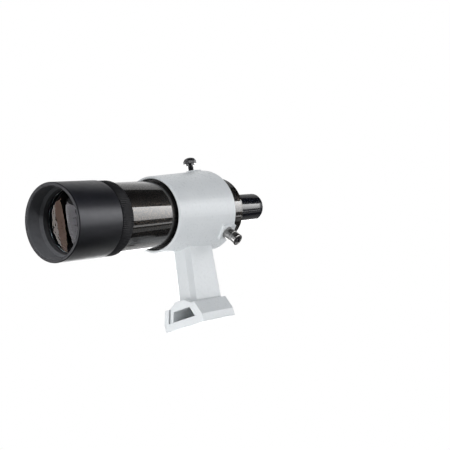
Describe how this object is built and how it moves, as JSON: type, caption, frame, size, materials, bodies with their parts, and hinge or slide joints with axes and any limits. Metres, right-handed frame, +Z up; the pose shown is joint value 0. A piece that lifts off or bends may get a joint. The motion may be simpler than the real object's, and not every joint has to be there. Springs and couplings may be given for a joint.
{
  "type": "finder scope",
  "caption": "Straight-through finder scope in a ring bracket with two thumbscrews, a spring plunger and a dovetail shoe.",
  "frame": {"origin": "centre of the two mounting holes, on the underside of the shoe", "axes": "+X along the optical axis from the objective to the eyepiece, +Z up the stalk, +Y towards the side thumbscrew and the clamp screw"},
  "size_m": [0.2438, 0.0831, 0.1416],
  "materials": {
    "white_paint": "gloss paint with fine orange peel",
    "nylon": "matt",
    "black_screw": "black nickel, satin gloss",
    "chrome": "polished plating",
    "steel": "bright turned",
    "rubber": "matt",
    "tube_gloss": "gloss black with fine metal flake",
    "matt_black": "flat black",
    "eyepiece_gloss": "gloss black",
    "glass": "polished",
    "coated_glass": "polished, amber and lavender coating",
    "satin_black": "satin black anodised",
    "washer_nylon": "matt",
    "knurled_black": "black anodised, fine straight knurl"
  },
  "bodies": {
    "shoe": {"shoe_body": "white_paint"},
    "clamp_pad": {"clamp_pad": "nylon"},
    "clamp_screw": {"clamp_screw": "black_screw"},
    "bracket": {"bracket": "white_paint", "plunger_barrel": "chrome", "plunger_plug": "black_screw"},
    "plunger_spring": {"plunger_spring": "steel"},
    "plunger_pin": {"plunger_pin": "steel"},
    "top_tip": {"top_tip": "nylon"},
    "top_screw": {"top_screw": "black_screw"},
    "side_tip": {"side_tip": "nylon"},
    "side_screw": {"side_screw": "black_screw"},
    "rubber_ring": {"rubber_ring": "rubber"},
    "scope": {"main_tube": "tube_gloss", "rear_cap": "tube_gloss", "baffle_front": "matt_black", "baffle_rear": "matt_black", "eyepiece_barrel": "eyepiece_gloss", "reticle_ring": "matt_black", "reticle_wire_level": "steel", "reticle_wire_upright": "steel", "field_lens": "glass", "eyepiece_spacer": "matt_black", "eye_flint": "glass", "eye_crown": "glass", "eye_keeper": "satin_black"},
    "lens_group": {"objective_crown": "coated_glass", "objective_spacer": "steel", "objective_flint": "coated_glass", "objective_keeper": "satin_black"},
    "front_cell": {"dew_shield": "satin_black", "objective_cell": "satin_black"},
    "lock_washer": {"lock_washer": "washer_nylon"},
    "lock_ring": {"lock_ring": "knurled_black"}
  },
  "joints": [
    {"name": "clamp_press", "type": "slide", "parent": "shoe", "child": "clamp_pad", "axis": [0, -1, 0], "range_m": [-0.0024, 0]},
    {"name": "clamp_turn", "type": "hinge", "parent": "clamp_pad", "child": "clamp_screw", "pos_m": [0, 0.025, 0.0122], "axis": [0, -1, 0], "range_deg": [-1080, 0]},
    {"name": "bracket_slide", "type": "slide", "parent": "shoe", "child": "bracket", "axis": [1, 0, 0], "range_m": [0, 0.041]},
    {"name": "top_press", "type": "slide", "parent": "bracket", "child": "top_tip", "axis": [0, 0.1132, -0.9936], "range_m": [-0.0014, 0.0014]},
    {"name": "top_turn", "type": "hinge", "parent": "top_tip", "child": "top_screw", "pos_m": [0.0338, -0.00533, 0.13474], "axis": [0, 0.1132, -0.9936], "range_deg": [-630, 630]},
    {"name": "side_press", "type": "slide", "parent": "bracket", "child": "side_tip", "axis": [0, -0.9936, -0.1132], "range_m": [-0.0014, 0.0014]},
    {"name": "side_turn", "type": "hinge", "parent": "side_tip", "child": "side_screw", "pos_m": [0.0338, 0.03894, 0.09953], "axis": [0, -0.9936, -0.1132], "range_deg": [-630, 630]},
    {"name": "plunger_by_top", "type": "slide", "parent": "bracket", "child": "plunger_spring", "axis": [0, -0.682, -0.7314], "range_m": [-0.0011, 0.0011], "deforming": ["plunger_spring"]},
    {"name": "plunger_by_side", "type": "slide", "parent": "plunger_spring", "child": "plunger_pin", "axis": [0, -0.682, -0.7314], "range_m": [-0.0011, 0.0011], "deforming": ["plunger_spring"]},
    {"name": "tilt_up_down", "type": "hinge", "parent": "bracket", "child": "rubber_ring", "pos_m": [-0.0207, -0.0008, 0.095], "axis": [0, 0.9936, 0.1132], "range_deg": [-1.5, 1.5], "deforming": ["rubber_ring"]},
    {"name": "tilt_left_right", "type": "hinge", "parent": "rubber_ring", "child": "scope", "pos_m": [-0.0207, -0.0008, 0.095], "axis": [0, -0.1132, 0.9936], "range_deg": [-1.5, 1.5], "deforming": ["rubber_ring"]},
    {"name": "focus_slide", "type": "slide", "parent": "scope", "child": "lens_group", "axis": [1, 0, 0], "range_m": [-0.003, 0]},
    {"name": "focus_turn", "type": "hinge", "parent": "lens_group", "child": "front_cell", "pos_m": [-0.11, -0.0008, 0.095], "axis": [1, 0, 0], "range_deg": [-1440, 0]},
    {"name": "lock_slide", "type": "slide", "parent": "scope", "child": "lock_washer", "axis": [1, 0, 0], "range_m": [0, 0.003]},
    {"name": "lock_turn", "type": "hinge", "parent": "lock_washer", "child": "lock_ring", "pos_m": [-0.082, -0.0008, 0.095], "axis": [1, 0, 0], "range_deg": [0, 1440]}
  ],
  "couplings": [
    {"joint": "clamp_turn", "follows": "clamp_press", "rad_per_m": 7854},
    {"joint": "top_turn", "follows": "top_press", "rad_per_m": 7854},
    {"joint": "side_turn", "follows": "side_press", "rad_per_m": 7854},
    {"joint": "plunger_by_top", "follows": "top_press", "ratio": 0.64945},
    {"joint": "plunger_by_side", "follows": "side_press", "ratio": 0.76041},
    {"joint": "tilt_up_down", "follows": "top_press", "rad_per_m": 18.349},
    {"joint": "tilt_left_right", "follows": "side_press", "rad_per_m": -18.349},
    {"joint": "focus_turn", "follows": "focus_slide", "rad_per_m": 8377.6},
    {"joint": "lock_turn", "follows": "lock_slide", "rad_per_m": 8377.6}
  ]
}
